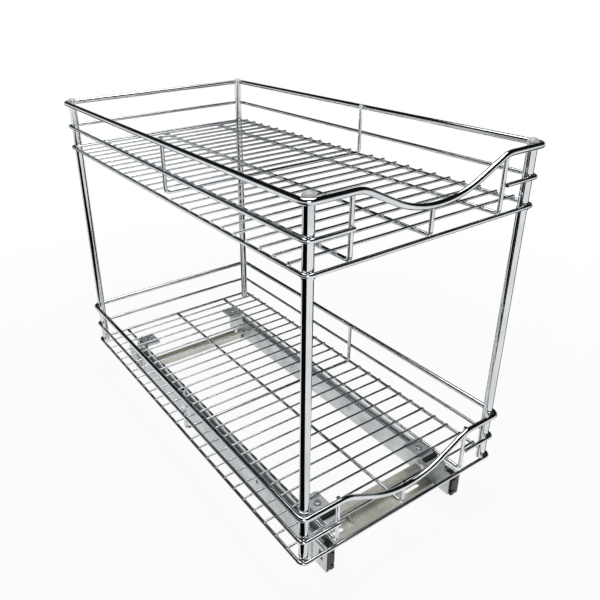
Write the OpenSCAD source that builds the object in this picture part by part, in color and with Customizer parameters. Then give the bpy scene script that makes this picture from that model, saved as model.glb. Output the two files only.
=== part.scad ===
// Two-tier pull-out cabinet basket.
// Two chromed wire baskets hang on four posts.  The lower one is screwed to a pair
// of full-extension ball slides, which two pressed plates hold to the cabinet floor.
// X runs across the basket, the front faces -Y, and Z = 0 is the cabinet floor.

/* [Baskets] */
// Clear width between the left and right rails
basket_w = 275; // [250:1:320]
// Clear depth between the front and back rails
basket_d = 529; // [450:1:600]
// Height of the lower basket's bottom rail above the floor
deck_h = 46.5; // [46.5:0.5:60]
// Rise from the lower basket to the upper one
tier_rise = 310.8; // [200:1:400]
// Height of a basket's top rail above its bottom rail
side_h = 59.5; // [50:0.5:90]
// Height of a basket's middle rail above its bottom rail
mid_rail_h = 28.7; // [20:0.5:35]

/* [Wires] */
// Diameter of the top rails
top_rail_d = 6; // [5:0.5:8]
// Diameter of the middle and bottom rails
rail_d = 4.2; // [3.5:0.1:5]
// Diameter of the wires that run from front to back
support_d = 4.2; // [3.5:0.1:4.6]
// Diameter of the U-shaped wire that ties the sides
tie_d = 4.2; // [3.5:0.1:5]
// Diameter of the deck wires
deck_d = 2.8; // [2:0.1:3.5]
// Centreline radius of the support wires' front bend
support_bend_r = 4.2; // [3:0.1:8]
// Centreline radius of the side tie's bends
tie_bend_r = 5; // [4:0.1:8]
// How far the side tie's ends stand above the top rail
tie_proud = 1; // [0:0.1:3]

/* [Deck] */
// Spaces between the deck wires, front to back
deck_gaps = 24; // [16:1:30]
// From the clear front and back to the first deck wires
deck_inset = 21; // [12:0.5:25]
// Which deck wire, from the front, is the side tie
tie_place = 11; // [6:1:14]

/* [Scalloped front] */
// Depth of the dip in the front top rail
scallop_depth = 29.5; // [27:0.5:32]
// Angle at which the rail runs down into the dip
scallop_slope = 26.5; // [25:0.5:28]
// Radius of the dip's shoulders
shoulder_r = 30; // [15:1:40]
// From the front uprights to the start of the shoulders
shoulder_reach = 0.8; // [0:0.1:6]

/* [Posts] */
// Outer diameter of the posts
post_d = 10; // [8:0.5:14]
// Wall of the post tube
post_wall = 1; // [0.8:0.1:2]
// Clearance between a cap and the rail beside it
cap_gap = 0.1; // [0:0.1:3]
// How far a post reaches below the lower bottom rail
post_foot = 1; // [0:0.1:2]
// How far a cap overhangs its post all round
cap_lip = 0.75; // [0.3:0.05:2]
// Height of the domed caps above the tube
cap_h = 4.2; // [3:0.1:6]
// Depth of a cap's plug in its tube
cap_plug = 9; // [4:0.5:16]
// Wall of the collars under the upper basket
collar_wall = 0.8; // [0.4:0.1:2]
// Height of the collars under the upper basket
collar_h = 3; // [2:0.1:6]

/* [Slides] */
// Width over the two slides
base_w = 203.2; // [180:0.1:215]
// Height of a slide
slide_h = 32; // [31:0.5:36]
// Thickness of a slide
slide_t = 12.7; // [12.5:0.1:14]
// How far the basket pulls out
travel = 480; // [300:5:480]
// Steel thickness of the slide members
member_t = 1.2; // [1:0.05:1.3]
// Diameter of the slide balls
ball_d = 3; // [2.8:0.05:3.1]
// Balls in one row
ball_count = 5; // [3:1:8]
// Length of a ball retainer
retainer_len = 220; // [120:1:230]
// Thickness of a ball retainer
retainer_t = 0.4; // [0.3:0.05:0.5]
// From the front of the basket to the front of the slides
slide_front = 12.5; // [8:0.5:25]
// From the back of the basket to the back of the slides
slide_back = 28.5; // [15:0.5:45]
// Length of the plastic end block on a slide's front
end_block = 11.2; // [8:0.1:18]

/* [Runner brackets] */
// Steel thickness of the runner brackets and deck tabs
bracket_t = 1.5; // [1.2:0.1:2]
// Width of the brackets' top flange
flange_w = 22.4; // [18:0.1:26]
// Reach of the flanges past the deck tabs, towards the ends
flange_nose = 17; // [10:0.5:20]
// Overlap of a deck tab past its two deck wires
tab_lap = 5.5; // [3:0.1:8]
// Clearance between a bracket and the support wire beside it
wire_gap = 1.4; // [0.8:0.1:3]
// Width of the rubber pad ahead of each front tab
pad_w = 5; // [3:0.1:6]
// Thickness of the rubber pads
pad_h = 3; // [2:0.1:3.5]

/* [Floor plates] */
// Steel thickness of the floor plates
plate_t = 1.5; // [1.2:0.1:2.5]
// Width of a floor plate's pan, front to back
pan_w = 22; // [21:0.5:36]
// Height of the lip on the pan's open edge
lip_h = 8; // [6.5:0.5:10]
// Height of a floor plate's stiffening wall
wall_h = 16.5; // [12:0.5:24]
// Width of the flange on top of that wall
wall_flange = 7.5; // [3:0.5:14]
// From the slides' front end to the front plate, and from their back end to the back one
plate_inset = 22; // [20:0.5:26]
// Width of the ears that hold the slides
ear_w = 21; // [16:0.5:21]
// Height of the ears above the floor
ear_h = 29; // [26:0.5:30]
// Width of the floor screw slots
floor_slot_w = 5; // [4:0.1:5.6]
// Length of the floor screw slots
floor_slot_len = 26; // [12:1:30]
// Distance between the centres of a plate's floor screw slots
floor_slot_span = 120; // [110:1:130]
// Distance between the two gussets pressed in a plate's bend
gusset_span = 66; // [20:1:70]
// Radius of the pressed bead on the lip
bead_r = 1.4; // [1:0.1:1.6]

/* [Fasteners] */
// Diameter of the tab screws
screw_d = 4; // [3:0.1:5]
// Diameter of the tab screws' pan heads
screw_head_d = 8; // [7:0.1:9]
// Height of the tab screws' pan heads
screw_head_h = 2.6; // [2:0.1:3]
// Width across the flats of the nuts
nut_af = 7; // [6.5:0.1:8]
// Height of the nuts
nut_h = 3.2; // [2.5:0.1:4]
// Diameter of the rivets
rivet_d = 4; // [3:0.1:5]
// Diameter of the rivet heads
rivet_head_d = 7; // [6:0.1:8]
// Height of the rivet heads
rivet_head_h = 1.1; // [0.8:0.05:1.2]

/* [Hidden] */
$fn = 48;

// Colours of the finishes
CHROME = "#c9cdd0";
ZINC = "#a3a8a8";
RUBBER = "#1b1c1e";
CAP = "#e4e6e3";

// Small clearances
fit_gap = 0.1;        // between a ball or a shank and what it sits in
slip_gap = 0.3;       // between members that slide past each other
screw_hole_gap = 0.4; // over a screw's diameter, in a clearance hole

// Baskets: half sizes of the clear space, and the outside of the frame
half_w = basket_w / 2;
half_d = basket_d / 2;
front_y = -(half_d + top_rail_d);
back_y = half_d + top_rail_d;
upper_h = deck_h + tier_rise;

// Deck wires, counted from the front
deck_pitch = (basket_d - 2 * deck_inset) / deck_gaps;
function deck_y(k) = -half_d + deck_inset + k * deck_pitch;
function deck_z(base) = base + (rail_d + deck_d) / 2;
tie_y = deck_y(tie_place);

// Posts stand in the corners of the clear space
post_x = half_w - post_d / 2;
post_y = half_d - post_d / 2;
post_z0 = deck_h - rail_d / 2 - post_foot;
cap_r = post_d / 2 + cap_lip;
// Height above a top rail's centre at which that rail leaves room for the caps
rail_clear = sqrt(pow(top_rail_d / 2, 2) - pow(top_rail_d / 2 - cap_lip, 2));
post_z1 = upper_h + side_h + rail_clear + cap_gap;

// Slides, between the outside face and the runner brackets
face_x = base_w / 2;
runner_x = face_x - slide_t;
slide_z = plate_t + slide_h / 2;
slide_y0 = front_y + slide_front;
slide_y1 = back_y - slide_back;
member_y0 = slide_y0 + end_block;
middle_short = 20;                   // from the back of the outer member to that of the middle one
inner_short = 10;                    // from the back of the outer member to that of the inner one
middle_y1 = slide_y1 - middle_short;
inner_y1 = slide_y1 - inner_short;
race_r = ball_d / 2 + fit_gap;       // inside radius of a rolled race
hook_r = race_r + member_t;          // outside radius of a rolled race
hook_end = -10;                      // angle at which a rolled race ends
curl_start = 244;                    // angle at which a curled lip ends
outer_ball = [hook_r, slide_h / 2 - hook_r];
inner_ball = [slide_t - member_t - slip_gap - hook_r, outer_ball.y - 2 * race_r - member_t];
inner_corner_r = 2;
retainer_end = 10;                   // of a retainer past its last ball
ball_pitch = (retainer_len - 2 * retainer_end) / (ball_count - 1);
retainer_stop = 8;                   // from a retainer to the front of its member, when pulled out
outer_retainer_y0 = slide_y0 + travel / 4 + retainer_stop;
inner_retainer_y0 = member_y0 + travel / 4 + retainer_stop;
retainer_lap = 0.6;                  // of a retainer past its balls' centres, outboard
pocket_r = ball_d / 2 - 0.05;

// Support wires run beside the brackets
support_x = runner_x + wire_gap + support_d / 2;
upright_sink = 0.6;                  // of the uprights' ends below the top rail's centre

// Brackets and tabs
tab_z = deck_h + rail_d / 2 - bracket_t;
flange_z = tab_z - bracket_t;
flange_x = runner_x - flange_w;
tab_y0 = deck_y(1) - tab_lap;
tab_y1 = deck_y(2) + tab_lap;
flange_y0 = tab_y0 - flange_nose;
tab_screw = [runner_x - flange_w / 2, (deck_y(1) + deck_y(2)) / 2];
bracket_bend_r = 1.5;                // inside radius of the bends
leg_z0 = plate_t + 1.5;
leg_z1 = slide_z + slide_h / 2;
pad_y = tab_y0 - 0.5 - pad_w;

// Floor plates: the front one is drawn, and the back one mirrors it
pan_y0 = slide_y0 + plate_inset;
pan_y1 = pan_y0 + pan_w;
wall_x = runner_x - bracket_t - 3;
ear_y1 = pan_y1;
ear_y0 = ear_y1 - ear_w;
plate_bend_r = 1.5;
floor_slot_y = pan_y1 - plate_t - plate_bend_r - 5.5;  // leaves room for a screw head
rivet_rows = [-6, 6];

// The scalloped rail: a dip and two shoulders, joined by their common tangents
scallop_half = support_x + shoulder_reach;
arc_sum = (scallop_half * tan(scallop_slope) - scallop_depth) / (1 / cos(scallop_slope) - 1);
dip_r = arc_sum - shoulder_r;

// ---------------------------------------------------------------- wire helpers

// A straight wire from a to b
module wire(a, b, d) {
    v = b - a;
    translate(a) rotate([0, acos(v.z / norm(v)), atan2(v.y, v.x)]) cylinder(d = d, h = norm(v));
}

// A bend in the XY plane about c, of centreline radius r, from angle a0 to a1
module bend_xy(c, r, a0, a1, d) {
    translate(c) rotate([0, 0, a0]) rotate_extrude(angle = a1 - a0) translate([r, 0]) circle(d = d);
}

// The same in the XZ plane, with angles from +X towards +Z
module bend_xz(c, r, a0, a1, d) {
    translate(c) rotate([90, 0, 0]) bend_xy([0, 0, 0], r, a0, a1, d);
}

// The same in the YZ plane, with angles from +Y towards +Z
module bend_yz(c, r, a0, a1, d) {
    translate(c) rotate([0, 0, 90]) rotate([90, 0, 0]) bend_xy([0, 0, 0], r, a0, a1, d);
}

// Sides, back and rounded corners of a rail that wraps the four posts
module rail_u(z, d) {
    x = half_w + d / 2;
    y = half_d + d / 2;
    r = (post_d + d) / 2;
    for (s = [-1, 1]) wire([s * x, -post_y, z], [s * x, post_y, z], d);
    wire([-post_x, y, z], [post_x, y, z], d);
    bend_xy([post_x, post_y, z], r, 0, 90, d);
    bend_xy([-post_x, post_y, z], r, 90, 180, d);
    bend_xy([-post_x, -post_y, z], r, 180, 270, d);
    bend_xy([post_x, -post_y, z], r, 270, 360, d);
}

// ---------------------------------------------------------------- basket parts

// Top rail: its front dips between the uprights.  The straight and curved runs of this
// one bent wire stop a hundredth of a millimetre apart.
module top_rail(base) {
    z = base + side_h;
    y = -(half_d + top_rail_d / 2);
    d = top_rail_d;
    gap = 0.005;
    dip = [0, y, z - scallop_depth + dip_r];
    c = cos(scallop_slope);
    s = sin(scallop_slope);
    dip_end = scallop_slope - asin(gap / dip_r);
    shoulder_end = asin(gap / shoulder_r);
    color(CHROME) union() {
        rail_u(z, d);
        bend_xz(dip, dip_r, 270 - dip_end, 270 + dip_end, d);
        for (side = [-1, 1]) {
            centre = [side * scallop_half, y, z - shoulder_r];
            crest = [side * scallop_half, y, z];
            brow = centre + shoulder_r * [-side * s, 0, c];
            foot = dip + dip_r * [side * s, 0, -c];
            down = [-side * c, 0, -s];
            mid_angle = 90 + side * scallop_slope / 2;
            half_angle = scallop_slope / 2 - shoulder_end;
            wire([side * post_x, y, z], crest + [side * gap, 0, 0], d);
            bend_xz(centre, shoulder_r, mid_angle - half_angle, mid_angle + half_angle, d);
            wire(brow + gap * down, foot - gap * down, d);
        }
    }
}

// Middle rail: it stops at the outer uprights, which leaves the front open
module mid_rail(base) {
    z = base + mid_rail_h;
    y = -(half_d + rail_d / 2);
    color(CHROME) union() {
        rail_u(z, rail_d);
        for (s = [-1, 1]) wire([s * post_x, y, z], [s * support_x, y, z], rail_d);
    }
}

// Bottom rail: a closed ring
module bottom_rail(base) {
    y = -(half_d + rail_d / 2);
    color(CHROME) union() {
        rail_u(base, rail_d);
        wire([-post_x, y, base], [post_x, y, base], rail_d);
    }
}

// Deck wires, which lie on the side rails and the supports
module deck_wires(base) {
    x = half_w + rail_d / 2;
    z = deck_z(base);
    color(CHROME)
    for (k = [0 : deck_gaps])
        if (k != tie_place) wire([-x, deck_y(k), z], [x, deck_y(k), z], deck_d);
}

// U-shaped wire across the deck, whose ends rise inside the rails
module side_tie(base) {
    x = half_w - tie_d / 2;
    z = base + (rail_d + tie_d) / 2;
    top = base + side_h + top_rail_d / 2 + tie_proud;
    xb = x - tie_bend_r;
    zb = z + tie_bend_r;
    color(CHROME) union() {
        wire([-xb, tie_y, z], [xb, tie_y, z], tie_d);
        bend_xz([xb, tie_y, zb], tie_bend_r, 270, 360, tie_d);
        bend_xz([-xb, tie_y, zb], tie_bend_r, 180, 270, tie_d);
        for (s = [-1, 1]) wire([s * x, tie_y, zb], [s * x, tie_y, top], tie_d);
    }
}

// Support wire from the back rail, bent up at the front to the top rail
module support(base, x, top) {
    y = -(half_d - support_d / 2);
    yb = y + support_bend_r;
    zb = base + support_bend_r;
    color(CHROME) union() {
        wire([x, half_d, base], [x, yb, base], support_d);
        bend_yz([x, yb, zb], support_bend_r, 180, 270, support_d);
        wire([x, y, zb], [x, y, top], support_d);
    }
}

module side_support(base, side) {
    support(base, side * support_x, base + side_h - upright_sink);
}

module centre_support(base) {
    support(base, 0, base + side_h - scallop_depth - upright_sink);
}

// ---------------------------------------------------------------- posts

module post(sx, sy) {
    color(CHROME) translate([sx * post_x, sy * post_y, post_z0]) difference() {
        cylinder(d = post_d, h = post_z1 - post_z0);
        translate([0, 0, -1]) cylinder(d = post_d - 2 * post_wall, h = post_z1 - post_z0 + 2);
    }
}

module at_posts() {
    for (sx = [-1, 1], sy = [-1, 1]) translate([sx * post_x, sy * post_y, 0]) children();
}

// Domed caps with a plug that fills the tube's mouth
module post_caps() {
    r = cap_r;
    rim = 1;
    dome_h = cap_h - rim;
    dome_r = (r * r + dome_h * dome_h) / (2 * dome_h);
    color(CAP) at_posts() translate([0, 0, post_z1]) union() {
        translate([0, 0, -cap_plug]) cylinder(d = post_d - 2 * post_wall - fit_gap, h = cap_plug + rim);
        cylinder(r = r, h = rim);
        intersection() {
            translate([0, 0, cap_h - dome_r]) sphere(r = dome_r);
            translate([0, 0, rim / 2]) cylinder(r = r, h = cap_h);
        }
    }
}

// Collars on which the upper basket's bottom rail sits
module post_collars() {
    color(CHROME) at_posts() translate([0, 0, upper_h - rail_d / 2 - collar_h]) difference() {
        cylinder(d = post_d + 2 * collar_wall, h = collar_h);
        translate([0, 0, -1]) cylinder(d = post_d, h = collar_h + 2);
    }
}

// ---------------------------------------------------------------- sheet and slide helpers

// Draws the right-hand side as it is, or mirrors it to the left
module on_side(side) {
    mirror([side > 0 ? 0 : 1, 0, 0]) children();
}

module on_both_sides() {
    for (side = [-1, 1]) on_side(side) children();
}

// A slide section in (u, v), run along Y: u inboard from the outside face, v up from mid height
module slide_run(y0, y1) {
    translate([face_x, y1, slide_z]) rotate([90, 0, 0]) mirror([1, 0, 0])
        linear_extrude(y1 - y0) children();
}

// Part of a ring from angle a0 to a1, of 30 to 210 degrees, about c
module ring_part(c, r, t, a0, a1) {
    far = 2 * r;
    mid = (a0 + a1) / 2;
    translate(c) intersection() {
        difference() {
            circle(r = r);
            circle(r = r - t);
        }
        polygon([[0, 0], far * [cos(a0), sin(a0)], 2 * far * [cos((a0 + mid) / 2), sin((a0 + mid) / 2)],
                 2 * far * [cos((mid + a1) / 2), sin((mid + a1) / 2)], far * [cos(a1), sin(a1)]]);
    }
}

// Draws a half section and its mirror image about mid height
module both_halves() {
    children();
    mirror([0, 1]) children();
}

// A web with a race rolled over the balls at both edges
module hooked_section(ball) {
    u0 = ball.x - hook_r;
    translate([u0, -ball.y]) square([member_t, 2 * ball.y]);
    both_halves() ring_part(ball, hook_r, member_t, hook_end, 180);
}

// A flange under a ball, from its curled lip inboard to u1
module race_flange(ball, u1) {
    ring_part(ball, hook_r, member_t, curl_start, 271);
    translate([ball.x, ball.y - hook_r]) square([u1 - ball.x, member_t]);
}

module outer_section() {
    hooked_section(outer_ball);
}

module middle_section() {
    hooked_section(inner_ball);
    both_halves() race_flange(outer_ball, inner_ball.x);
}

module inner_section() {
    top = inner_ball.y - race_r;
    corner = [slide_t - inner_corner_r, top - inner_corner_r];
    both_halves() {
        race_flange(inner_ball, corner.x);
        ring_part(corner, inner_corner_r, member_t, 0, 90);
    }
    translate([slide_t - member_t, -corner.y]) square([member_t, 2 * corner.y]);
}

// Holes along X through an upright wall near x, at each [y, v] of the list
module cross_holes(x, places, r) {
    for (p = places)
        translate([x - 3, p.x, slide_z + p.y]) rotate([0, 90, 0]) cylinder(r = r, h = 6);
}

// ---------------------------------------------------------------- slides

plate_rivet_y = (ear_y0 + ear_y1) / 2;
plate_rivets_yv = [for (y = [plate_rivet_y, -plate_rivet_y + slide_y0 + slide_y1], v = rivet_rows) [y, v]];
front_window = [8.7, 3.4];           // its centre, from the slide's front end and mid height
window_size = [6.4, 12];
second_hole = [128, 10.5];
back_hole = [-9, 1];
outer_holes_yv = [[slide_y0, 0] + second_hole, [slide_y1, 0] + back_hole];
outer_hole_r = 2.4;
rivet_inset = 40;
rivet_pitch = (inner_y1 - member_y0 - 2 * rivet_inset) / 3;
runner_rivets_yv = [for (i = [0 : 3]) [member_y0 + rivet_inset + i * rivet_pitch, 0]];

// Outer member, riveted to the floor plates' ears
module outer_member(side) {
    color(ZINC) on_side(side) difference() {
        slide_run(slide_y0, slide_y1) outer_section();
        cross_holes(face_x, plate_rivets_yv, rivet_d / 2);
        cross_holes(face_x, outer_holes_yv, outer_hole_r);
        translate([face_x - 2, slide_y0 + front_window.x, slide_z + front_window.y])
            rotate([90, 0, 90]) linear_extrude(4) square(window_size, center = true);
    }
}

// Middle member, which travels half as far as the basket
module middle_member(side) {
    color(ZINC) on_side(side) slide_run(member_y0 + slip_gap, middle_y1) middle_section();
}

// Inner member, riveted to the runner bracket
module inner_member(side) {
    color(ZINC) on_side(side) difference() {
        slide_run(member_y0, inner_y1) inner_section();
        cross_holes(runner_x, runner_rivets_yv, rivet_d / 2);
    }
}

// Plastic block on the inner member's front end: a body, a waist, and a lobe above and below
module block_section() {
    block_u0 = member_t + slip_gap;
    block_u1 = slide_t - member_t;
    body_v = 7.6;
    waist = [7, outer_ball.y - 1.2];
    lobe_u0 = 2 * hook_r + slip_gap;
    lobe_v0 = 10.4;
    lobe_v1 = slide_h / 2 - 0.5;
    translate([block_u0, -body_v]) square([block_u1 - block_u0, 2 * body_v]);
    translate([block_u0, -waist.y]) square([waist.x - block_u0, 2 * waist.y]);
    both_halves() translate([lobe_u0, lobe_v0]) square([block_u1 - lobe_u0, lobe_v1 - lobe_v0]);
}

// The block, with a plug in the member
module end_block(side) {
    plug_u0 = inner_ball.x + 0.6;
    plug_u1 = slide_t - member_t - fit_gap;
    plug_v = inner_ball.y - race_r - inner_corner_r;
    color(RUBBER) on_side(side) union() {
        slide_run(slide_y0, member_y0) block_section();
        slide_run(member_y0 - 1, member_y0 + 14)
            translate([plug_u0, -plug_v]) square([plug_u1 - plug_u0, 2 * plug_v]);
    }
}

// The two ball strips of one race: strips above and below, with a pocket for each ball
module retainer(side, ball, u1, y0) {
    u0 = ball.x - retainer_lap;
    v = ball.y - race_r + slip_gap;
    color(ZINC) on_side(side) difference() {
        slide_run(y0, y0 + retainer_len)
            both_halves() translate([u0, v]) square([u1 - u0, retainer_t]);
        ball_places(ball, y0) cylinder(r = pocket_r, h = 4, center = true);
    }
}

module outer_retainer(side) {
    retainer(side, outer_ball, inner_ball.x, outer_retainer_y0);
}

module inner_retainer(side) {
    retainer(side, inner_ball, slide_t - inner_corner_r, inner_retainer_y0);
}

module ball_places(ball, y0) {
    for (i = [0 : ball_count - 1], s = [-1, 1])
        translate([face_x - ball.x, y0 + retainer_end + i * ball_pitch, slide_z + s * ball.y]) children();
}

module balls(side, ball, y0) {
    color(CHROME) on_side(side) ball_places(ball, y0) sphere(d = ball_d);
}

// ---------------------------------------------------------------- runner brackets and tabs

// Angle plate from the leg's top to the flange, in (x, z), run along Y
module flange_piece(y0, y1) {
    r = bracket_bend_r + bracket_t;
    top = flange_z + bracket_t;
    translate([0, y1, 0]) rotate([90, 0, 0]) linear_extrude(y1 - y0) {
        translate([runner_x - bracket_t, leg_z1 - 1]) square([bracket_t, top - r - leg_z1 + 1]);
        ring_part([runner_x - r, top - r], r, bracket_t, 0, 90);
        translate([flange_x, flange_z]) square([flange_w - r, bracket_t]);
    }
}

module runner(side) {
    color(ZINC) on_side(side) difference() {
        union() {
            translate([runner_x - bracket_t, slide_y0 + 3, leg_z0])
                cube([bracket_t, inner_y1 + 4 - slide_y0, leg_z1 - leg_z0]);
            flange_piece(flange_y0, tab_y1);
            flange_piece(-tab_y1, -tab_y0);
        }
        cross_holes(runner_x, runner_rivets_yv, rivet_d / 2);
        for (s = [-1, 1])
            translate([tab_screw.x, s * tab_screw.y, flange_z - 1])
                cylinder(d = screw_d + screw_hole_gap, h = bracket_t + 2);
    }
}

// Tabs welded under the second and third deck wires from either end
module tabs(sy) {
    r = 3;
    w = flange_w - bracket_bend_r;
    l = tab_y1 - tab_y0;
    color(ZINC) on_both_sides() mirror([0, sy > 0 ? 1 : 0, 0]) difference() {
        translate([flange_x, tab_y0, tab_z]) linear_extrude(bracket_t) {
            translate([r, 0]) square([w - r, l]);
            translate([0, r]) square([r, l - 2 * r]);
            for (y = [r, l - r]) translate([r, y]) circle(r = r);
        }
        translate([tab_screw.x, tab_screw.y, tab_z - 1])
            cylinder(d = screw_d + screw_hole_gap, h = bracket_t + 2);
    }
}

// Rubber pads ahead of the front tabs
module front_pads() {
    color(RUBBER) on_both_sides()
        translate([flange_x, pad_y, flange_z + bracket_t]) cube([flange_w - 2, pad_w, pad_h]);
}

module at_tab_screws() {
    for (sx = [-1, 1], sy = [-1, 1]) translate([sx * tab_screw.x, sy * tab_screw.y, 0]) children();
}

// Pan-head screws with a cross recess
module tab_screws() {
    edge_r = 1.2;
    recess = 4.4;
    slot_w = 0.9;
    shank = 2 * bracket_t + nut_h + 1;
    color(CHROME) at_tab_screws() translate([0, 0, tab_z + bracket_t]) difference() {
        union() {
            translate([0, 0, -shank]) cylinder(d = screw_d, h = shank + 1);
            cylinder(d = screw_head_d, h = screw_head_h - edge_r);
            translate([0, 0, screw_head_h - edge_r]) rotate_extrude() {
                square([screw_head_d / 2 - edge_r, edge_r]);
                intersection() {
                    translate([screw_head_d / 2 - edge_r, 0]) circle(r = edge_r);
                    square([screw_head_d / 2, edge_r]);
                }
            }
        }
        for (a = [0, 90])
            rotate([0, 0, a + 45]) translate([-recess / 2, -slot_w / 2, screw_head_h - 1.4])
                cube([recess, slot_w, 2]);
    }
}

module tab_nuts() {
    color(ZINC) at_tab_screws() translate([0, 0, flange_z - nut_h]) difference() {
        cylinder(d = nut_af / cos(30), h = nut_h, $fn = 6);
        translate([0, 0, -1]) cylinder(d = screw_d + fit_gap, h = nut_h + 2);
    }
}

// A rivet along X whose shank runs from x0 to x1, with a head at each end
module rivet(x0, x1, y, z) {
    color(ZINC) translate([x0, y, z]) rotate([0, 90, 0]) union() {
        cylinder(d = rivet_d, h = x1 - x0);
        translate([0, 0, -rivet_head_h]) cylinder(d = rivet_head_d, h = rivet_head_h);
        translate([0, 0, x1 - x0]) cylinder(d = rivet_head_d, h = rivet_head_h);
    }
}

module runner_rivets() {
    on_both_sides() for (p = runner_rivets_yv)
        rivet(runner_x - bracket_t, runner_x + member_t, p.x, slide_z + p.y);
}

module plate_rivets() {
    on_both_sides() for (p = plate_rivets_yv)
        rivet(face_x - member_t, face_x + plate_t, p.x, slide_z + p.y);
}

// ---------------------------------------------------------------- floor plates

// Lip, pan, stiffening wall and its flange, in (y, z), run across between the slides
module pan_section() {
    r = plate_bend_r + plate_t;
    wall_top = wall_h - r;
    lip_top = lip_h - plate_t / 2;
    translate([pan_y0 + plate_t / 2, lip_top]) circle(d = plate_t);
    translate([pan_y0, r]) square([plate_t, lip_top - r]);
    ring_part([pan_y0 + r, r], r, plate_t, 180, 270);
    translate([pan_y0 + r, 0]) square([pan_w - 2 * r, plate_t]);
    ring_part([pan_y1 - r, r], r, plate_t, 270, 360);
    translate([pan_y1 - plate_t, r]) square([plate_t, wall_top - r]);
    ring_part([pan_y1 - plate_t + r, wall_top], r, plate_t, 90, 180);
    translate([pan_y1 - plate_t + r, wall_h - plate_t]) square([wall_flange, plate_t]);
}

// Ear beside a slide, bent up from the pan, in (x, z)
module ear_section() {
    r = plate_bend_r + plate_t;
    translate([wall_x - 1, 0]) square([face_x + plate_t - r - wall_x + 1, plate_t]);
    ring_part([face_x + plate_t - r, r], r, plate_t, 270, 360);
    translate([face_x, r]) square([plate_t, ear_h - r]);
}

// Long bead on the lip's outer face
module lip_bead() {
    sink = 0.6;
    y = pan_y0 + sink;
    z = lip_h / 2 + 0.6;
    intersection() {
        wire([-wall_x + 4, y, z], [wall_x - 4, y, z], 2 * bead_r);
        translate([-wall_x, y - bead_r, 0]) cube([2 * wall_x, bead_r + plate_t / 2 - sink, lip_h]);
    }
}

// Round-backed gusset between the pan and the wall, at x
module gusset(x) {
    d = 3;
    wall_y = pan_y1 - plate_t;
    intersection() {
        wire([x, wall_y - 9.5, plate_t - 1], [x, wall_y + 1, plate_t + 6], d);
        translate([x - d, wall_y - 12, plate_t / 2]) cube([2 * d, 12 + plate_t / 2, wall_h / 2]);
    }
}

// Slot through the pan for a floor screw, about x
module floor_slot(x) {
    straight = floor_slot_len - floor_slot_w;
    translate([x, floor_slot_y, -1]) linear_extrude(plate_t + 2) {
        square([straight, floor_slot_w], center = true);
        for (s = [-1, 1]) translate([s * straight / 2, 0]) circle(d = floor_slot_w);
    }
}

// The front plate; the back one is its mirror image
module floor_plate(back) {
    y_mid = (slide_y0 + slide_y1) / 2;
    color(ZINC) translate([0, y_mid, 0]) mirror([0, back ? 1 : 0, 0]) translate([0, -y_mid, 0])
    difference() {
        union() {
            translate([-wall_x, 0, 0]) rotate([0, 0, 90]) rotate([90, 0, 0])
                linear_extrude(2 * wall_x) pan_section();
            on_both_sides() translate([0, ear_y1, 0]) rotate([90, 0, 0])
                linear_extrude(ear_w) ear_section();
            lip_bead();
            for (s = [-1, 1]) gusset(s * gusset_span / 2);
        }
        for (s = [-1, 1]) floor_slot(s * floor_slot_span / 2);
        on_both_sides() for (v = rivet_rows)
            translate([face_x - 1, plate_rivet_y, slide_z + v]) rotate([0, 90, 0])
                cylinder(d = rivet_d, h = plate_t + 2);
    }
}

// ---------------------------------------------------------------- the assembly

top_rail(deck_h);  // lower_top_rail
mid_rail(deck_h);  // lower_mid_rail
bottom_rail(deck_h);  // lower_bottom_rail
deck_wires(deck_h);  // lower_deck_wires
side_tie(deck_h);  // lower_side_tie
side_support(deck_h, -1);  // lower_support_left
centre_support(deck_h);  // lower_support_centre
side_support(deck_h, 1);  // lower_support_right
top_rail(upper_h);  // upper_top_rail
mid_rail(upper_h);  // upper_mid_rail
bottom_rail(upper_h);  // upper_bottom_rail
deck_wires(upper_h);  // upper_deck_wires
side_tie(upper_h);  // upper_side_tie
side_support(upper_h, -1);  // upper_support_left
centre_support(upper_h);  // upper_support_centre
side_support(upper_h, 1);  // upper_support_right
post(-1, -1);  // post_front_left
post(1, -1);  // post_front_right
post(-1, 1);  // post_back_left
post(1, 1);  // post_back_right
post_caps();
post_collars();
tabs(-1);  // front_tabs
tabs(1);  // back_tabs
front_pads();
tab_screws();
tab_nuts();
runner(-1);  // runner_left
runner(1);  // runner_right
runner_rivets();
inner_member(-1);  // inner_member_left
inner_member(1);  // inner_member_right
middle_member(-1);  // middle_member_left
middle_member(1);  // middle_member_right
outer_member(-1);  // outer_member_left
outer_member(1);  // outer_member_right
end_block(-1);  // end_block_left
end_block(1);  // end_block_right
outer_retainer(-1);  // outer_retainer_left
outer_retainer(1);  // outer_retainer_right
inner_retainer(-1);  // inner_retainer_left
inner_retainer(1);  // inner_retainer_right
balls(-1, outer_ball, outer_retainer_y0);  // outer_balls_left
balls(1, outer_ball, outer_retainer_y0);  // outer_balls_right
balls(-1, inner_ball, inner_retainer_y0);  // inner_balls_left
balls(1, inner_ball, inner_retainer_y0);  // inner_balls_right
floor_plate(false);  // front_floor_plate
floor_plate(true);  // back_floor_plate
plate_rivets();
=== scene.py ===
"""Looks of a two-tier pull-out cabinet basket: chromed wire trays over zinc-plated ball slides."""

from __future__ import annotations

import logging
import math
from dataclasses import dataclass, field
from enum import Enum
from typing import Any, Iterable

import bmesh
import bpy
from mathutils import Matrix, Vector

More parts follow.
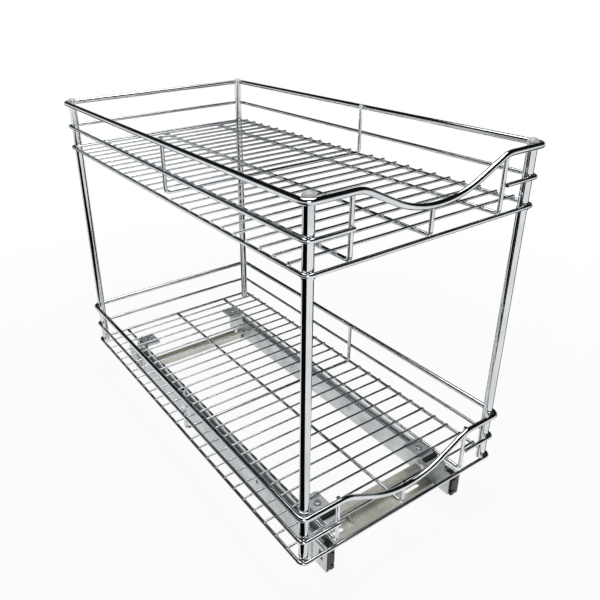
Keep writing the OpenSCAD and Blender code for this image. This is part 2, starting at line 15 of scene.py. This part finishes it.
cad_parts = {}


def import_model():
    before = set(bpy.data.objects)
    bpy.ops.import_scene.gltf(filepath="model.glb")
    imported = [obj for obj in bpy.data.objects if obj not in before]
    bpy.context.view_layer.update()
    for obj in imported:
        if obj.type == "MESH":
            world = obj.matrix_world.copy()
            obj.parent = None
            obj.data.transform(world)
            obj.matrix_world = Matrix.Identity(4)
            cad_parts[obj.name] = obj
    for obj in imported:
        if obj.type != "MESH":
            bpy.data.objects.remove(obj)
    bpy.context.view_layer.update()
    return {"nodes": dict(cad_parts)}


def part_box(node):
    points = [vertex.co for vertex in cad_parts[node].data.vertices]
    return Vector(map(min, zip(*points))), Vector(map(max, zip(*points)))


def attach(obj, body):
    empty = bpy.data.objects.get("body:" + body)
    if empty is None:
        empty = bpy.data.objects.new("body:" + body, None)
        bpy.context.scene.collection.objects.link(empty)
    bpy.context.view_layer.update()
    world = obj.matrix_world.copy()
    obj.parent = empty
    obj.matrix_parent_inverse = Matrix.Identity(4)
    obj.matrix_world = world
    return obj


log = logging.getLogger("basket")
MM = 0.001
Point = tuple[float, float, float]
Span = tuple[float, float]


def linear(hex_colour: str) -> tuple[float, float, float, float]:
    """Turns an sRGB hex colour into linear light.

    Args:
        hex_colour: the colour as "#rrggbb".

    Returns:
        Red, green, blue and an alpha of 1.
    """
    parts = [int(hex_colour[i : i + 2], 16) / 255 for i in (1, 3, 5)]
    rgb = [c / 12.92 if c <= 0.04045 else ((c + 0.055) / 1.055) ** 2.4 for c in parts]
    return (rgb[0], rgb[1], rgb[2], 1.0)


def add_node(
    tree: bpy.types.NodeTree,
    kind: str,
    settings: dict[str, Any] | None = None,
    inputs: dict[str | int, Any] | None = None,
) -> bpy.types.Node:
    """Adds a shader node with its settings and links.

    Args:
        tree: the node tree that gets it.
        kind: the node's Blender type.
        settings: attributes of the node itself.
        inputs: for each input, an output socket to link or a value to set.

    Returns:
        The new node.
    """
    node = tree.nodes.new(kind)
    for name, value in (settings or {}).items():
        setattr(node, name, value)
    for name, value in (inputs or {}).items():
        if isinstance(value, bpy.types.NodeSocket):
            tree.links.new(value, node.inputs[name])
        else:
            node.inputs[name].default_value = value
    return node


def new_tree(name: str) -> tuple[bpy.types.Material, bpy.types.NodeTree]:
    """Makes an empty node material.

    Args:
        name: the material's name.

    Returns:
        The material and its node tree.
    """
    material = bpy.data.materials.new(name)
    material.use_nodes = True
    material.node_tree.nodes.clear()
    return material, material.node_tree


def ramp_stops(node: bpy.types.Node, stops: Iterable[tuple[float, str]]) -> None:
    """Sets a colour ramp's stops.

    Args:
        node: the colour ramp.
        stops: each stop's place and sRGB hex colour, in order.
    """
    wanted = list(stops)
    elements = node.color_ramp.elements
    while len(elements) < len(wanted):
        elements.new(1.0)
    for element, (place, colour) in zip(elements, wanted):
        element.position = place
        element.color = linear(colour)


# ------------------------------------------------------------------ finishes


@dataclass(frozen=True)
class BrightChrome:
    """Nickel-chrome plate on drawn steel wire: a near mirror that wavers a little with the wire under it."""

    name: str = "bright_chrome_plate"
    colour: str = "#dfe2e4"
    haze: str = "#cdd1d4"
    roughness: float = 0.07
    haze_roughness: float = 0.03
    patch_mm: float = 35.0
    tone_span: Span = (0.35, 0.6)
    gloss_span: Span = (0.3, 0.75)
    wave_mm: float = 2.2
    wave_height_mm: float = 0.003
    wave_strength: float = 0.6

    def material(self) -> bpy.types.Material:
        """Builds the plating: a mirror whose reflections waver a little and haze in patches.

        Returns:
            The material.
        """
        material, tree = new_tree(self.name)
        place = add_node(tree, "ShaderNodeTexCoord").outputs["Object"]
        patches = add_node(
            tree,
            "ShaderNodeTexNoise",
            {},
            {"Vector": place, "Scale": 1 / (self.patch_mm * MM), "Detail": 3.0},
        )
        tone = add_node(tree, "ShaderNodeValToRGB", {}, {"Fac": patches.outputs["Fac"]})
        ramp_stops(tone, zip(self.tone_span, (self.haze, self.colour)))
        gloss = add_node(
            tree,
            "ShaderNodeMapRange",
            {},
            {
                "Value": patches.outputs["Fac"],
                "From Min": self.gloss_span[0],
                "From Max": self.gloss_span[1],
                "To Min": self.roughness,
                "To Max": self.roughness + self.haze_roughness,
            },
        )
        waves = add_node(
            tree,
            "ShaderNodeTexNoise",
            {},
            {"Vector": place, "Scale": 1 / (self.wave_mm * MM), "Detail": 1.0},
        )
        bump = add_node(
            tree,
            "ShaderNodeBump",
            {},
            {
                "Height": waves.outputs["Fac"],
                "Distance": self.wave_height_mm * MM,
                "Strength": self.wave_strength,
            },
        )
        skin = add_node(
            tree,
            "ShaderNodeBsdfPrincipled",
            {},
            {
                "Base Color": tone.outputs["Color"],
                "Metallic": 1.0,
                "Roughness": gloss.outputs["Result"],
                "Normal": bump.outputs["Normal"],
            },
        )
        add_node(tree, "ShaderNodeOutputMaterial", {}, {"Surface": skin.outputs["BSDF"]})
        return material


@dataclass(frozen=True)
class ZincPlatedStrip:
    """Cold-rolled strip, zinc plated and clear passivated: satin grey, with fine rolling lines along it.

    The passivation's film scatters some light, so it is a little less metallic than bare zinc.
    """

    name: str
    light: str = "#dde1e2"
    dark: str = "#b4b9ba"
    metal: float = 0.7
    roughness: float = 0.34
    dulling: float = 0.1
    polish: float = 0.06
    tone_span: Span = (0.45, 0.95)
    gloss_span: Span = (0.4, 1.0)
    cloud_mm: float = 28.0
    line_mm: float = 0.8
    line_length_mm: float = 60.0
    line_depth_mm: float = 0.02
    line_share: float = 0.45
    line_strength: float = 0.5
    along: int = 1

    def material(self) -> bpy.types.Material:
        """Builds the strip: rolling lines in colour, gloss and relief, over cloudy passivation.

        Returns:
            The material.
        """
        material, tree = new_tree(self.name)
        place = add_node(tree, "ShaderNodeTexCoord").outputs["Object"]
        scale = [1 / (self.line_mm * MM)] * 3
        scale[self.along] = 1 / (self.line_length_mm * MM)
        stretched = add_node(
            tree, "ShaderNodeMapping", {"vector_type": "POINT"}, {"Vector": place, "Scale": scale}
        )
        lines = add_node(
            tree,
            "ShaderNodeTexNoise",
            {},
            {"Vector": stretched.outputs["Vector"], "Scale": 1.0, "Detail": 4.0},
        )
        cloud = add_node(
            tree,
            "ShaderNodeTexNoise",
            {},
            {"Vector": place, "Scale": 1 / (self.cloud_mm * MM), "Detail": 4.0, "Roughness": 0.6},
        )
        mixed = add_node(
            tree,
            "ShaderNodeMath",
            {"operation": "MULTIPLY_ADD"},
            {0: lines.outputs["Fac"], 1: self.line_share, 2: cloud.outputs["Fac"]},
        )
        tone = add_node(tree, "ShaderNodeValToRGB", {}, {"Fac": mixed.outputs["Value"]})
        ramp_stops(tone, zip(self.tone_span, (self.dark, self.light)))
        gloss = add_node(
            tree,
            "ShaderNodeMapRange",
            {},
            {
                "Value": mixed.outputs["Value"],
                "From Min": self.gloss_span[0],
                "From Max": self.gloss_span[1],
                "To Min": self.roughness + self.dulling,
                "To Max": self.roughness - self.polish,
            },
        )
        bump = add_node(
            tree,
            "ShaderNodeBump",
            {},
            {
                "Height": lines.outputs["Fac"],
                "Distance": self.line_depth_mm * MM,
                "Strength": self.line_strength,
            },
        )
        skin = add_node(
            tree,
            "ShaderNodeBsdfPrincipled",
            {},
            {
                "Base Color": tone.outputs["Color"],
                "Metallic": self.metal,
                "Roughness": gloss.outputs["Result"],
                "Normal": bump.outputs["Normal"],
            },
        )
        add_node(tree, "ShaderNodeOutputMaterial", {}, {"Surface": skin.outputs["BSDF"]})
        return material


@dataclass(frozen=True)
class GalvanisedSheet:
    """Hot-dip galvanised sheet: warm grey, with the faint crystal spangle of the frozen zinc.

    Its skin is oxidised, so it scatters more light than bright zinc.
    """

    name: str = "galvanised_sheet"
    light: str = "#e4e3d9"
    dark: str = "#c1c0b4"
    metal: float = 0.6
    roughness: float = 0.42
    dulling: float = 0.08
    polish: float = 0.06
    tone_span: Span = (0.4, 0.95)
    gloss_span: Span = (0.4, 1.0)
    cloud_mm: float = 30.0
    spangle_mm: float = 5.0
    spangle_share: float = 0.35
    spangle_blur: float = 0.3
    wobble_mm: float = 6.0
    wobble: float = 0.004

    def material(self) -> bpy.types.Material:
        """Builds the sheet: crystal cells that differ in tone and gloss.

        Returns:
            The material.
        """
        material, tree = new_tree(self.name)
        place = add_node(tree, "ShaderNodeTexCoord").outputs["Object"]
        wobble = add_node(
            tree,
            "ShaderNodeTexNoise",
            {},
            {"Vector": place, "Scale": 1 / (self.wobble_mm * MM), "Detail": 2.0},
        )
        bent = add_node(
            tree,
            "ShaderNodeMix",
            {"data_type": "VECTOR"},
            {"Factor": self.wobble, "A": place, "B": wobble.outputs["Color"]},
        )
        cells = add_node(
            tree,
            "ShaderNodeTexVoronoi",
            {"feature": "SMOOTH_F1"},
            {
                "Vector": bent.outputs["Result"],
                "Scale": 1 / (self.spangle_mm * MM),
                "Smoothness": self.spangle_blur,
            },
        )
        grey = add_node(tree, "ShaderNodeRGBToBW", {}, {"Color": cells.outputs["Color"]})
        cloud = add_node(
            tree,
            "ShaderNodeTexNoise",
            {},
            {"Vector": place, "Scale": 1 / (self.cloud_mm * MM), "Detail": 4.0},
        )
        mixed = add_node(
            tree,
            "ShaderNodeMath",
            {"operation": "MULTIPLY_ADD"},
            {0: grey.outputs["Val"], 1: self.spangle_share, 2: cloud.outputs["Fac"]},
        )
        tone = add_node(tree, "ShaderNodeValToRGB", {}, {"Fac": mixed.outputs["Value"]})
        ramp_stops(tone, zip(self.tone_span, (self.dark, self.light)))
        gloss = add_node(
            tree,
            "ShaderNodeMapRange",
            {},
            {
                "Value": mixed.outputs["Value"],
                "From Min": self.gloss_span[0],
                "From Max": self.gloss_span[1],
                "To Min": self.roughness + self.dulling,
                "To Max": self.roughness - self.polish,
            },
        )
        skin = add_node(
            tree,
            "ShaderNodeBsdfPrincipled",
            {},
            {
                "Base Color": tone.outputs["Color"],
                "Metallic": self.metal,
                "Roughness": gloss.outputs["Result"],
            },
        )
        add_node(tree, "ShaderNodeOutputMaterial", {}, {"Surface": skin.outputs["BSDF"]})
        return material


@dataclass(frozen=True)
class MouldedPlastic:
    """Injection-moulded plastic: an even colour with a fine moulded grain and a soft sheen."""

    name: str
    colour: str
    shade: str
    roughness: float
    grain_mm: float
    grain_depth_mm: float
    ior: float = 1.5
    translucent: float = 0.0
    soak_mm: Point = (4.0, 4.0, 3.6)
    grain_span: Span = (0.3, 0.7)
    grain_strength: float = 0.5
    dulling: float = 0.06
    polish: float = 0.04

    def material(self) -> bpy.types.Material:
        """Builds the plastic: grain in relief and gloss, with light that soaks in where it is translucent.

        Returns:
            The material.
        """
        material, tree = new_tree(self.name)
        place = add_node(tree, "ShaderNodeTexCoord").outputs["Object"]
        grain = add_node(
            tree,
            "ShaderNodeTexNoise",
            {},
            {"Vector": place, "Scale": 1 / (self.grain_mm * MM), "Detail": 2.0},
        )
        tone = add_node(tree, "ShaderNodeValToRGB", {}, {"Fac": grain.outputs["Fac"]})
        ramp_stops(tone, zip(self.grain_span, (self.shade, self.colour)))
        gloss = add_node(
            tree,
            "ShaderNodeMapRange",
            {},
            {
                "Value": grain.outputs["Fac"],
                "From Min": self.grain_span[0],
                "From Max": self.grain_span[1],
                "To Min": self.roughness + self.dulling,
                "To Max": self.roughness - self.polish,
            },
        )
        bump = add_node(
            tree,
            "ShaderNodeBump",
            {},
            {
                "Height": grain.outputs["Fac"],
                "Distance": self.grain_depth_mm * MM,
                "Strength": self.grain_strength,
            },
        )
        skin = add_node(
            tree,
            "ShaderNodeBsdfPrincipled",
            {},
            {
                "Base Color": tone.outputs["Color"],
                "Roughness": gloss.outputs["Result"],
                "IOR": self.ior,
                "Normal": bump.outputs["Normal"],
                "Subsurface Weight": self.translucent,
                "Subsurface Radius": [reach * MM for reach in self.soak_mm],
                "Subsurface Scale": 1.0,
            },
        )
        add_node(tree, "ShaderNodeOutputMaterial", {}, {"Surface": skin.outputs["BSDF"]})
        return material


# ------------------------------------------------------------------ meshes


@dataclass
class MeshDraft:
    """Points and faces gathered for one piece, in millimetres."""

    name: str
    bm: bmesh.types.BMesh = field(default_factory=bmesh.new)
    pinch: float = 0.25

    def lens(self, centre: Point, radii: Point, around: int = 12, rings: int = 6) -> None:
        """Adds a smooth closed lens, such as the bead of metal squeezed out of a resistance weld.

        Its outline is pinched, so that it is longer along X and narrower along Y than an ellipse.

        Args:
            centre: its middle.
            radii: its half sizes along X, Y and Z.
            around: points around each ring.
            rings: rings from the bottom to the top.
        """
        made = bmesh.ops.create_uvsphere(self.bm, u_segments=around, v_segments=rings, radius=1.0)
        for vert in made["verts"]:
            turn = math.atan2(vert.co.y, vert.co.x)
            waist = 1.0 + self.pinch * (1 - abs(vert.co.z)) * math.cos(2 * turn)
            vert.co = Vector(
                (
                    centre[0] + radii[0] * vert.co.x * waist,
                    centre[1] + radii[1] * vert.co.y * (2 - waist),
                    centre[2] + radii[2] * vert.co.z,
                )
            )

    def finish(self, material: bpy.types.Material, body: str, slot: str) -> bpy.types.Object:
        """Turns the draft into a piece that rides on a body.

        Args:
            material: the piece's finish.
            body: the body that carries it.
            slot: not used.

        Returns:
            The piece.
        """
        mesh = bpy.data.meshes.new(self.name)
        self.bm.to_mesh(mesh)
        self.bm.free()
        mesh.transform(Matrix.Scale(MM, 4))
        mesh.polygons.foreach_set("use_smooth", [True] * len(mesh.polygons))
        mesh.materials.append(material)
        piece = bpy.data.objects.new(self.name, mesh)
        bpy.context.scene.collection.objects.link(piece)
        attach(piece, body)
        log.info("piece %s: %d faces, rides on %s", self.name, len(mesh.polygons), body)
        return piece


@dataclass
class Dresser:
    """Gives the solids of the frame their finishes."""

    nodes: dict[str, bpy.types.Object]

    def dress(self, names: Iterable[str], material: bpy.types.Material) -> None:
        """Puts one finish on several solids.

        Args:
            names: the solids' names.
            material: their finish.
        """
        for name in names:
            solid = self.nodes[name]
            solid.data.materials.clear()
            solid.data.materials.append(material)
            log.info("solid %s: %s", name, material.name)


# ------------------------------------------------------------------ sub-assemblies


class Tier(Enum):
    """The two trays, by the prefix of their solids' names."""

    LOWER = "lower"
    UPPER = "upper"


@dataclass
class WireTray:
    """One tray of welded wire, in millimetres: three rails, deck wires, a side tie and three supports."""

    tier: Tier
    half_w: float = 137.5
    half_d: float = 264.5
    rail_d: float = 4.2
    deck_d: float = 2.8
    tie_d: float = 4.2
    support_x: float = 92.4
    deck_inset: float = 21.0
    deck_gaps: int = 24
    tie_place: int = 11
    bead_length: float = 1.9
    bead_spread: float = 0.35
    bead_height: float = 0.75
    bead_inboard: float = 0.4

    def part_names(self) -> list[str]:
        """Returns the names of the tray's solids."""
        parts = ("top_rail", "mid_rail", "bottom_rail", "deck_wires", "side_tie")
        supports = ("support_left", "support_centre", "support_right")
        return [f"{self.tier.value}_{part}" for part in parts + supports]

    def base(self) -> float:
        """Returns the height of the bottom rail's centre, in millimetres."""
        low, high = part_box(f"{self.tier.value}_bottom_rail")
        return (low[2] + high[2]) / 2 / MM

    def deck_y(self, place: int) -> float:
        """Gives where a deck wire lies.

        Args:
            place: the wire's place, from the front.

        Returns:
            Its Y, in millimetres.
        """
        reach = self.half_d - self.deck_inset
        return -self.half_d + self.deck_inset + place * 2 * reach / self.deck_gaps

    def welds(self) -> MeshDraft:
        """Builds the bead at each crossing of the deck with the rails and supports.

        Returns:
            The draft of all the beads.
        """
        draft = MeshDraft(f"{self.tier.value}_weld_beads")
        z = self.base() + self.rail_d / 2
        for place in range(self.deck_gaps + 1):
            tie = place == self.tie_place
            across = (self.tie_d if tie else self.deck_d) / 2
            columns = [-self.support_x, 0.0, self.support_x]
            if not tie:
                rail_x = self.half_w + self.rail_d / 2
                columns = [-rail_x + self.bead_inboard, *columns, rail_x - self.bead_inboard]
            radii = (self.bead_length, across + self.bead_spread, self.bead_height)
            for x in columns:
                draft.lens((x, self.deck_y(place), z), radii)
        return draft

    def build(self, dresser: Dresser, chrome: bpy.types.Material) -> None:
        """Dresses the tray's solids and adds its weld beads.

        Args:
            dresser: what dresses the solids.
            chrome: the plating.
        """
        dresser.dress(self.part_names(), chrome)
        self.welds().finish(chrome, "drawer", "chrome_wire")


@dataclass
class Posts:
    """The four tube posts with their collars and domed caps."""

    corners: tuple[str, ...] = ("front_left", "front_right", "back_left", "back_right")

    def build(self, dresser: Dresser, chrome: bpy.types.Material, nylon: bpy.types.Material) -> None:
        """Dresses the posts, collars and caps.

        Args:
            dresser: what dresses the solids.
            chrome: the finish of the tubes and collars.
            nylon: the finish of the caps.
        """
        dresser.dress([f"post_{corner}" for corner in self.corners] + ["post_collars"], chrome)
        dresser.dress(["post_caps"], nylon)


@dataclass
class BallSlides:
    """The two full-extension slides: three members a side, with their balls, retainers and end blocks."""

    sides: tuple[str, ...] = ("left", "right")

    def build(
        self,
        dresser: Dresser,
        strip: bpy.types.Material,
        plastic: bpy.types.Material,
        steel: bpy.types.Material,
    ) -> None:
        """Dresses the members and what runs between them.

        Args:
            dresser: what dresses the solids.
            strip: the members' and retainers' finish.
            plastic: the end blocks' finish.
            steel: the balls' finish.
        """
        for side in self.sides:
            dresser.dress([f"{part}_member_{side}" for part in ("outer", "middle", "inner")], strip)
            dresser.dress([f"{part}_retainer_{side}" for part in ("outer", "inner")], strip)
            dresser.dress([f"{part}_balls_{side}" for part in ("outer", "inner")], steel)
            dresser.dress([f"end_block_{side}"], plastic)


@dataclass
class RunnerBrackets:
    """The brackets that join the lower tray to the slides, with tabs, pads and screws."""

    def build(
        self,
        dresser: Dresser,
        strip: bpy.types.Material,
        pad_rubber_and_slot_shade: bpy.types.Material,
        bright: bpy.types.Material,
    ) -> None:
        """Dresses the brackets and their fasteners; the pads' black also paints the shade in their slots.

        Args:
            dresser: what dresses the solids.
            strip: the sheet's finish.
            pad_rubber_and_slot_shade: the pads' finish.
            bright: the screws' finish.
        """
        dresser.dress(["runner_left", "runner_right", "runner_rivets", "front_tabs", "back_tabs"], strip)
        dresser.dress(["front_pads"], pad_rubber_and_slot_shade)
        dresser.dress(["tab_screws", "tab_nuts"], bright)


@dataclass
class FloorPlates:
    """The pressed plates that hold the slides to the cabinet floor."""

    def build(self, dresser: Dresser, sheet: bpy.types.Material, bright: bpy.types.Material) -> None:
        """Dresses the plates and their rivets.

        Args:
            dresser: what dresses the solids.
            sheet: the plates' finish.
            bright: the rivets' finish.
        """
        dresser.dress(["front_floor_plate", "back_floor_plate"], sheet)
        dresser.dress(["plate_rivets"], bright)


# ------------------------------------------------------------------ studio


@dataclass(frozen=True)
class Softbox:
    """A square soft lamp, in metres and watts."""

    name: str
    place: Point
    size: float
    watts: float


@dataclass(frozen=True)
class BlackCard:
    """A black card that lies on the floor, by its corners' X and Y in metres."""

    name: str
    corners: tuple[Span, Span, Span, Span]


@dataclass
class Studio:
    """A white floor under soft light, seen from where the picture was taken."""

    eye_mm: Point = (-407.98, -608.33, 563.21)
    azimuth_deg: float = -32.588
    elevation_deg: float = 25.811
    roll_deg: float = -1.615
    lens_mm: float = 37.840
    shift: Span = (0.08193, -0.02800)
    sensor_mm: float = 36.0
    clip_m: Span = (0.01, 200.0)
    floor_m: float = 60.0
    floor_drop_m: float = 0.0005
    floor_paper: str = "#f4f4f4"
    glow_near: float = 0.92
    glow_far: float = 1.0
    glow_reach_m: Span = (0.35, 1.0)
    card_lift_m: float = 0.001
    card_colour: str = "#0b0b0c"
    lamp_aim: Point = (0.0, 0.0, 0.2)
    sky: tuple[tuple[float, str], ...] = (
        (0.0, "#c9cccd"),
        (0.1, "#9a9d9f"),
        (0.26, "#1b1c1d"),
        (0.85, "#0c0d0d"),
        (1.0, "#1b1c1d"),
    )
    cards: tuple[BlackCard, ...] = (
        BlackCard("left_flag", ((-0.15, -0.34), (-1.9, -1.5), (-1.9, 1.1), (-0.4, 0.35))),
        BlackCard("right_flag", ((0.16, -0.28), (0.16, 0.2), (1.9, 0.7), (1.9, -1.1))),
        BlackCard("back_flag", ((-0.14, 0.29), (-0.7, 1.9), (0.7, 1.9), (0.14, 0.29))),
    )
    lamps: tuple[Softbox, ...] = (
        Softbox("top_softbox", (0.2, 0.3, 2.4), 1.6, 42.0),
        Softbox("key_softbox", (-1.4, -2.0, 1.3), 0.9, 13.0),
    )

    def camera(self) -> None:
        """Places the camera at the picture's viewpoint."""
        az, el, roll = (math.radians(a) for a in (self.azimuth_deg, self.elevation_deg, self.roll_deg))
        back = Vector((math.sin(az) * math.cos(el), -math.cos(az) * math.cos(el), math.sin(el)))
        right = (-back).cross(Vector((0, 0, 1))).normalized()
        up = right.cross(-back)
        tilted_right = math.cos(roll) * right + math.sin(roll) * up
        tilted_up = -math.sin(roll) * right + math.cos(roll) * up
        data = bpy.data.cameras.new("picture_camera")
        data.lens = self.lens_mm
        data.sensor_width = self.sensor_mm
        data.shift_x, data.shift_y = self.shift
        data.clip_start, data.clip_end = self.clip_m
        camera = bpy.data.objects.new("picture_camera", data)
        turn = Matrix((tilted_right, tilted_up, back)).transposed()
        camera.matrix_world = Matrix.Translation(Vector(self.eye_mm) * MM) @ turn.to_4x4()
        bpy.context.scene.collection.objects.link(camera)
        bpy.context.scene.camera = camera

    def floor(self) -> None:
        """Lays the white floor, which is white to the camera and in reflections but keeps a soft shadow."""
        material, tree = new_tree("white_sweep")
        rays = add_node(tree, "ShaderNodeLightPath").outputs
        seen = add_node(
            tree,
            "ShaderNodeMath",
            {"operation": "MAXIMUM"},
            {0: rays["Is Camera Ray"], 1: rays["Is Transmission Ray"]},
        )
        looked_at = add_node(
            tree,
            "ShaderNodeMath",
            {"operation": "MAXIMUM"},
            {0: seen.outputs["Value"], 1: rays["Is Glossy Ray"]},
        )
        place = add_node(tree, "ShaderNodeTexCoord").outputs["Object"]
        away = add_node(tree, "ShaderNodeVectorMath", {"operation": "LENGTH"}, {0: place})
        even = add_node(
            tree,
            "ShaderNodeMapRange",
            {"interpolation_type": "SMOOTHSTEP"},
            {
                "Value": away.outputs["Value"],
                "From Min": self.glow_reach_m[0],
                "From Max": self.glow_reach_m[1],
                "To Min": self.glow_near,
                "To Max": self.glow_far,
            },
        )
        share = add_node(
            tree,
            "ShaderNodeMath",
            {"operation": "MULTIPLY"},
            {0: looked_at.outputs["Value"], 1: even.outputs["Result"]},
        )
        paper = add_node(tree, "ShaderNodeBsdfDiffuse", {}, {"Color": linear(self.floor_paper)})
        glow = add_node(tree, "ShaderNodeEmission", {}, {"Color": linear("#ffffff"), "Strength": 1.0})
        mixed = add_node(
            tree,
            "ShaderNodeMixShader",
            {},
            {0: share.outputs["Value"], 1: paper.outputs[0], 2: glow.outputs[0]},
        )
        add_node(tree, "ShaderNodeOutputMaterial", {}, {"Surface": mixed.outputs["Shader"]})
        half = self.floor_m / 2
        mesh = bpy.data.meshes.new("sweep")
        corners = [(-half, -half, 0), (half, -half, 0), (half, half, 0), (-half, half, 0)]
        mesh.from_pydata(corners, [], [(0, 1, 2, 3)])
        mesh.materials.append(material)
        sweep = bpy.data.objects.new("sweep", mesh)
        sweep.location.z = -self.floor_drop_m
        bpy.context.scene.collection.objects.link(sweep)

    def world(self) -> None:
        """Sets a pale horizon under a dark ceiling, which gives the chrome black edges and white cores."""
        world = bpy.data.worlds.new("studio")
        world.use_nodes = True
        bpy.context.scene.world = world
        tree = world.node_tree
        tree.nodes.clear()
        way = add_node(tree, "ShaderNodeTexCoord").outputs["Generated"]
        parts = add_node(tree, "ShaderNodeSeparateXYZ", {}, {"Vector": way})
        height = add_node(tree, "ShaderNodeValToRGB", {}, {"Fac": parts.outputs["Z"]})
        ramp_stops(height, self.sky)
        rays = add_node(tree, "ShaderNodeLightPath").outputs
        colour = add_node(
            tree,
            "ShaderNodeMix",
            {"data_type": "RGBA"},
            {"Factor": rays["Is Camera Ray"], "A": height.outputs["Color"], "B": linear("#ffffff")},
        )
        sky = add_node(
            tree, "ShaderNodeBackground", {}, {"Color": colour.outputs["Result"], "Strength": 1.0}
        )
        add_node(tree, "ShaderNodeOutputWorld", {}, {"Surface": sky.outputs["Background"]})

    def lamp(self, box: Softbox) -> None:
        """Hangs a soft lamp that faces the basket.

        Args:
            box: the lamp's name, place, size and power.
        """
        data = bpy.data.lights.new(box.name, "AREA")
        data.shape = "SQUARE"
        data.size = box.size
        data.energy = box.watts
        lamp = bpy.data.objects.new(box.name, data)
        lamp.location = box.place
        facing = Vector(self.lamp_aim) - Vector(box.place)
        lamp.rotation_euler = facing.to_track_quat("-Z", "Y").to_euler()
        bpy.context.scene.collection.objects.link(lamp)

    def lay(self, plan: BlackCard) -> None:
        """Lays a black card on the floor, which only mirror-like surfaces show.

        Args:
            plan: the card's name and corners.
        """
        material, tree = new_tree(plan.name)
        cloth = add_node(tree, "ShaderNodeBsdfDiffuse", {}, {"Color": linear(self.card_colour)})
        add_node(tree, "ShaderNodeOutputMaterial", {}, {"Surface": cloth.outputs[0]})
        mesh = bpy.data.meshes.new(plan.name)
        mesh.from_pydata([(x, y, self.card_lift_m) for x, y in plan.corners], [], [(0, 1, 2, 3)])
        mesh.materials.append(material)
        card = bpy.data.objects.new(plan.name, mesh)
        bpy.context.scene.collection.objects.link(card)
        card.visible_camera = card.visible_diffuse = False
        card.visible_transmission = card.visible_shadow = False

    def build(self) -> None:
        """Sets up the camera, floor, world, cards and lamps."""
        self.camera()
        self.floor()
        self.world()
        for plan in self.cards:
            self.lay(plan)
        for box in self.lamps:
            self.lamp(box)
        bpy.context.scene.view_settings.view_transform = "Standard"


def main() -> None:
    """Builds the dressed basket in its studio."""
    logging.basicConfig(level=logging.INFO, format="%(name)s: %(message)s")
    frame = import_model()
    dresser = Dresser(frame["nodes"])
    chrome = BrightChrome().material()
    strip = ZincPlatedStrip("zinc_plated_strip").material()
    bright = ZincPlatedStrip(
        name="bright_zinc_plate", light="#d4d6d6", dark="#b4b7b8", roughness=0.22
    ).material()
    sheet = GalvanisedSheet().material()
    nylon = MouldedPlastic(
        name="natural_nylon",
        colour="#d3d5d2",
        shade="#c3c5c2",
        roughness=0.3,
        grain_mm=0.8,
        grain_depth_mm=0.01,
        ior=1.53,
        translucent=0.3,
    ).material()
    acetal = MouldedPlastic(
        name="black_acetal",
        colour="#111213",
        shade="#0b0c0d",
        roughness=0.4,
        grain_mm=0.6,
        grain_depth_mm=0.02,
    ).material()
    # The pads' black is partly their rubber and partly painted shade for the dark slots they sit in.
    pad_rubber_and_slot_shade = MouldedPlastic(
        name="black_pad_and_painted_slot_shade",
        colour="#0c0c0d",
        shade="#070708",
        roughness=0.7,
        grain_mm=0.5,
        grain_depth_mm=0.03,
        ior=1.52,
    ).material()
    for tier in Tier:
        WireTray(tier).build(dresser, chrome)
    Posts().build(dresser, chrome, nylon)
    BallSlides().build(dresser, strip, acetal, bright)
    RunnerBrackets().build(dresser, strip, pad_rubber_and_slot_shade, bright)
    FloorPlates().build(dresser, sheet, bright)
    Studio().build()


if __name__ == "__main__":
    main()
